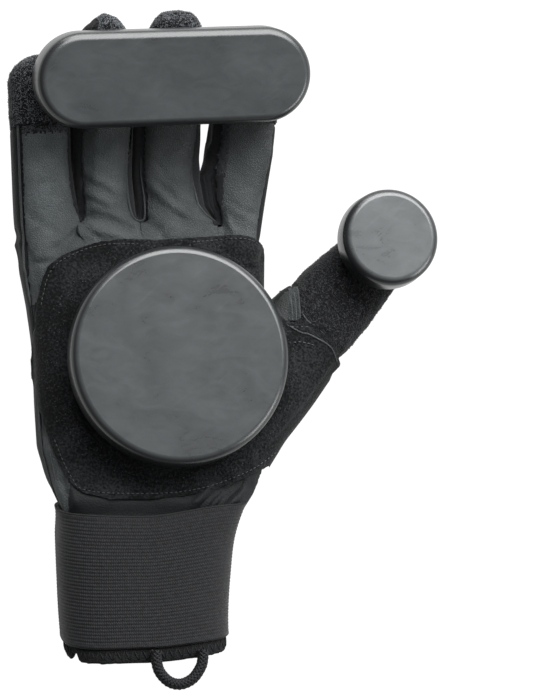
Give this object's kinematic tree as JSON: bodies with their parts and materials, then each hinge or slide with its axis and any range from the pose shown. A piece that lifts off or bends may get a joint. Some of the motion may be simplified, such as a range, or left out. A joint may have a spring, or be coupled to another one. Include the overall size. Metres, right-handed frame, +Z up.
{
  "type": "longboard slide glove",
  "caption": "Right-hand leather slide glove with an elastic cuff, a pull loop and hook-and-loop plastic pucks on the palm, the thumb and the fingers.",
  "frame": {"origin": "on the surface that the glove lies on, under the middle of its box measured without the pull loop", "axes": "+X towards the thumb side, +Y towards the fingertips, +Z up out of the palm"},
  "size_m": [0.1714, 0.2693, 0.0658],
  "materials": {
    "grain_leather": "soft dark grey grain leather, creased",
    "back_leather": "matt black leather",
    "side_suede": "black suede",
    "loop_fabric": "black napped loop fabric",
    "palm_suede": "black suede, double stitched",
    "elastic": "black ribbed elastic webbing",
    "hem_knit": "black knitted binding, zigzag stitched",
    "braided_cord": "dark grey round braid",
    "hook_tape": "black hook tape",
    "puck_plastic": "scuffed charcoal plastic with polished edges"
  },
  "bodies": {
    "root": {"palm_panel": "grain_leather", "back_panel": "back_leather", "side_strip_pinky_ring": "side_suede", "side_strip_ring_middle": "side_suede", "side_strip_middle_index": "side_suede", "pinky_loop_cap": "loop_fabric", "ring_loop_cap": "loop_fabric", "middle_loop_cap": "loop_fabric", "index_loop_cap": "loop_fabric", "thumb_loop_cap": "loop_fabric", "palm_patch": "palm_suede", "wrist_band": "elastic", "wrist_hem": "hem_knit", "pull_loop": "braided_cord", "palm_hook": "hook_tape", "thumb_hook": "hook_tape", "finger_hook": "hook_tape", "palm_puck": "puck_plastic", "thumb_puck": "puck_plastic", "finger_puck": "puck_plastic"}
  },
  "joints": []
}
